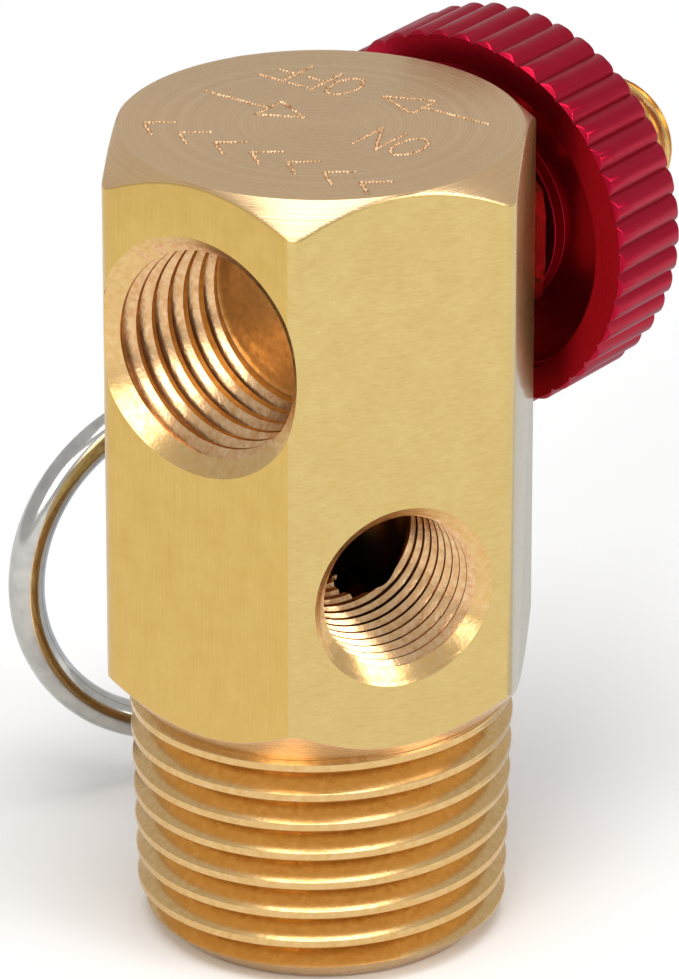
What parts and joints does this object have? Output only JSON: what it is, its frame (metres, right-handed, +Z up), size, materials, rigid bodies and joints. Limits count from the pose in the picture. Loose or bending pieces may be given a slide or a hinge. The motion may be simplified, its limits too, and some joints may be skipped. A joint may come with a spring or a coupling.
{
  "type": "pressure relief valve",
  "caption": "Brass air tank valve block with hose and gauge ports, shut-off spindle with fluted red knob and fill stem, and a pull-ring relief valve.",
  "frame": {"origin": "centre of the bottom end face of the tank thread, at the mouth of the inlet bore", "axes": "+Z up the body, +X out along the knob axis, -X out of the hose port; the gauge port faces 240 degrees and the relief valve 60 degrees round from +X"},
  "size_m": [0.0401, 0.035, 0.0481],
  "materials": {
    "body_brass": "brushed",
    "turned_brass": "turned",
    "red_aluminium": "anodised",
    "steel": "polished",
    "black_rubber": "matt",
    "white_plastic": "matt"
  },
  "bodies": {
    "body": {"valve_body": "body_brass", "gland_nut": "turned_brass", "gland_o_ring": "black_rubber", "gland_washer": "white_plastic", "relief_housing": "turned_brass", "relief_washer": "white_plastic", "relief_cap": "turned_brass", "relief_lock_nut": "turned_brass", "relief_spring": "steel"},
    "seat": {"seat_holder": "turned_brass", "seat_washer": "black_rubber"},
    "knob": {"spindle": "turned_brass", "knob": "red_aluminium", "knob_clip": "steel", "fill_core_barrel": "turned_brass", "fill_core_gasket": "white_plastic", "fill_core_spring": "steel"},
    "core": {"fill_core_pin": "turned_brass", "fill_core_seal": "black_rubber"},
    "relief": {"relief_poppet": "turned_brass", "relief_seal": "black_rubber", "relief_stem": "steel"},
    "ring": {"pull_ring": "steel"}
  },
  "joints": [
    {"name": "seat_slide", "type": "slide", "parent": "body", "child": "seat", "axis": [1, 0, 0], "range_m": [0, 0.0015]},
    {"name": "knob_turn", "type": "hinge", "parent": "seat", "child": "knob", "pos_m": [0, 0, 0.0371], "axis": [1, 0, 0], "range_deg": [0, 540]},
    {"name": "core_press", "type": "slide", "parent": "knob", "child": "core", "axis": [-1, 0, 0], "range_m": [0, 0.0012], "stiffness_N_per_m": 400, "springref_m": -0.003, "deforming": ["fill_core_spring"]},
    {"name": "relief_pull", "type": "slide", "parent": "body", "child": "relief", "axis": [0.5, 0.866, 0], "range_m": [0, 0.0015], "stiffness_N_per_m": 1500, "springref_m": -0.004, "deforming": ["relief_spring"]},
    {"name": "ring_swing", "type": "hinge", "parent": "relief", "child": "ring", "pos_m": [0.00937, 0.01624, 0.0234], "axis": [0.866, -0.5, 0], "range_deg": [-10, 95]}
  ],
  "couplings": [
    {"joint": "knob_turn", "follows": "seat_slide", "rad_per_m": 6283.2}
  ]
}
